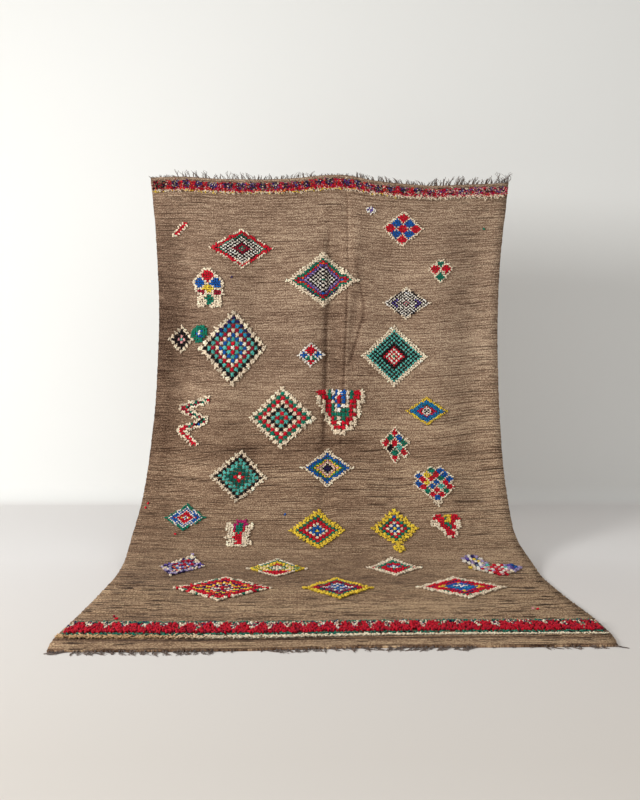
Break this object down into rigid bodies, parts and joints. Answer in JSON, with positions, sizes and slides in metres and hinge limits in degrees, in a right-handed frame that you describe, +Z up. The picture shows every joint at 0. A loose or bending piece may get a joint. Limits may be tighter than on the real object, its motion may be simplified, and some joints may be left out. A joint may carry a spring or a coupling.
{
  "type": "hanging wool rug",
  "caption": "Hand-knotted wool rug hung by its top edge and swept forward onto the floor, ribbed ground with raised pile diamonds, pile borders and fringed ends.",
  "frame": {"origin": "bottom centre of the rug's box, on the floor under its middle", "axes": "+Z up; +X to the right as the patterned face is seen from the front; -Y towards the front, where the foot lies on the floor; the top edge is at the back, +Y"},
  "size_m": [1.6928, 1.579, 1.77],
  "materials": {
    "ground_wool": "matt hand-spun wool, heathered grey-brown, ribbed weave",
    "cream_pile": "matt wool pile",
    "red_pile": "matt wool pile",
    "blue_pile": "matt wool pile",
    "purple_pile": "matt wool pile",
    "green_pile": "matt wool pile",
    "black_pile": "matt wool pile",
    "teal_pile": "matt wool pile",
    "yellow_pile": "matt wool pile",
    "border_pile": "matt shaggy wool pile in brown, red, purple and cream",
    "foot_red_pile": "matt wool pile in red with white, navy and green flecks",
    "cream_loops": "matt looped wool",
    "dark_warp": "matt dark brown wool warp ends"
  },
  "bodies": {
    "root": {"ground_cloth": "ground_wool", "slash_upper_left": "cream_pile", "diamond_upper_left": "red_pile", "five_blobs_upper_right": "blue_pile", "speck_upper_right": "purple_pile", "diamond_upper_middle": "red_pile", "lantern_left": "blue_pile", "clover_right": "green_pile", "diamond_purple_right": "purple_pile", "patch_dark_left": "black_pile", "patch_green_left": "green_pile", "diamond_blue_left": "blue_pile", "diamond_middle_small": "red_pile", "diamond_teal_right": "teal_pile", "zigzag_left": "red_pile", "diamond_green_left": "green_pile", "shield_middle": "blue_pile", "diamond_yellow_right": "yellow_pile", "patch_right": "green_pile", "diamond_teal_left": "teal_pile", "diamond_blue_middle": "blue_pile", "fan_right": "red_pile", "lozenge_green_left": "green_pile", "hourglass_left": "red_pile", "diamond_yellow_middle": "yellow_pile", "diamond_tailed_right": "yellow_pile", "heart_right": "red_pile", "leaning_patch_left": "purple_pile", "lozenge_low_left": "green_pile", "lozenge_low_right": "green_pile", "patch_far_right": "blue_pile", "diamond_floor_left": "red_pile", "diamond_floor_middle": "yellow_pile", "diamond_floor_right": "blue_pile", "top_border": "border_pile", "foot_border": "foot_red_pile", "foot_cream_row": "cream_loops", "top_fringe": "dark_warp", "foot_fringe": "dark_warp"}
  },
  "joints": []
}
